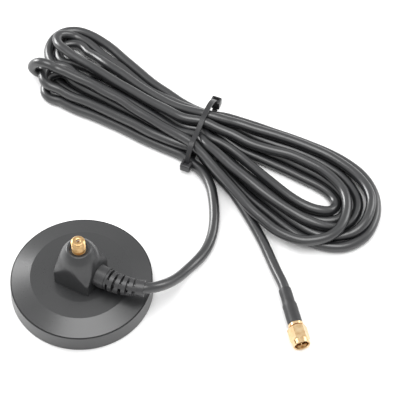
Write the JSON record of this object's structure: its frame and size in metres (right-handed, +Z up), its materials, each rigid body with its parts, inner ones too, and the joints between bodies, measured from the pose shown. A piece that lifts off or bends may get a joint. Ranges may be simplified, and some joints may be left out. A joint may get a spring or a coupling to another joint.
{
  "type": "magnetic antenna base with coaxial lead",
  "caption": "Round magnetic base with a flared tower, a threaded coaxial stud on top, and a tied coax lead that ends in a gold coupling-nut plug.",
  "frame": {"origin": "on the table, under the stud's axis, at the middle of the foot pad", "axes": "+Z up along the stud; +X to the right and +Y away from the viewer as the lead lies"},
  "size_m": [0.1765, 0.1912, 0.0394],
  "materials": {
    "satin_paint": "satin dark grey paint on stamped steel",
    "ferrite": "sintered ferrite",
    "zinc_steel": "zinc-plated steel",
    "foot_rubber": "thin moulded rubber",
    "tower_plastic": "satin moulded plastic",
    "gold_plate": "gold-plated brass",
    "white_insulator": "white insulating plastic",
    "copper_wire": "bare copper",
    "boot_rubber": "satin flexible plastic",
    "jacket": "half-gloss soft cable jacket",
    "tie_nylon": "black nylon",
    "sleeve": "shrunk polyolefin",
    "braid": "tinned copper braid",
    "gasket_rubber": "silicone rubber"
  },
  "bodies": {
    "antenna_base": {"base_shell": "satin_paint", "ring_magnet": "ferrite", "pole_plate": "zinc_steel", "foot_pad": "foot_rubber", "tower": "tower_plastic", "tower_screws": "zinc_steel", "stud_body": "gold_plate", "stud_insulator": "white_insulator", "stud_contact": "gold_plate", "ground_tag": "zinc_steel", "stud_washer": "zinc_steel", "stud_nut": "gold_plate", "core_lead": "copper_wire", "braid_clamp": "gold_plate", "strain_relief": "boot_rubber", "cord_base_lead": "jacket", "cord_hank": "jacket", "cord_plug_lead": "jacket", "cable_tie_over": "tie_nylon", "cable_tie_under": "tie_nylon", "shrink_sleeve": "sleeve", "crimp_ferrule": "gold_plate", "braid_end": "braid", "plug_core": "white_insulator", "plug_body": "gold_plate", "plug_insulator": "white_insulator", "plug_pin": "gold_plate", "plug_gasket": "gasket_rubber", "retaining_ring": "zinc_steel"},
    "nut": {"coupling_nut": "gold_plate"}
  },
  "joints": [
    {"name": "nut_turn", "type": "hinge", "parent": "antenna_base", "child": "nut", "pos_m": [0.1015, -0.0305, 0.004], "axis": [0.2419, -0.9703, 0], "continuous": true}
  ]
}
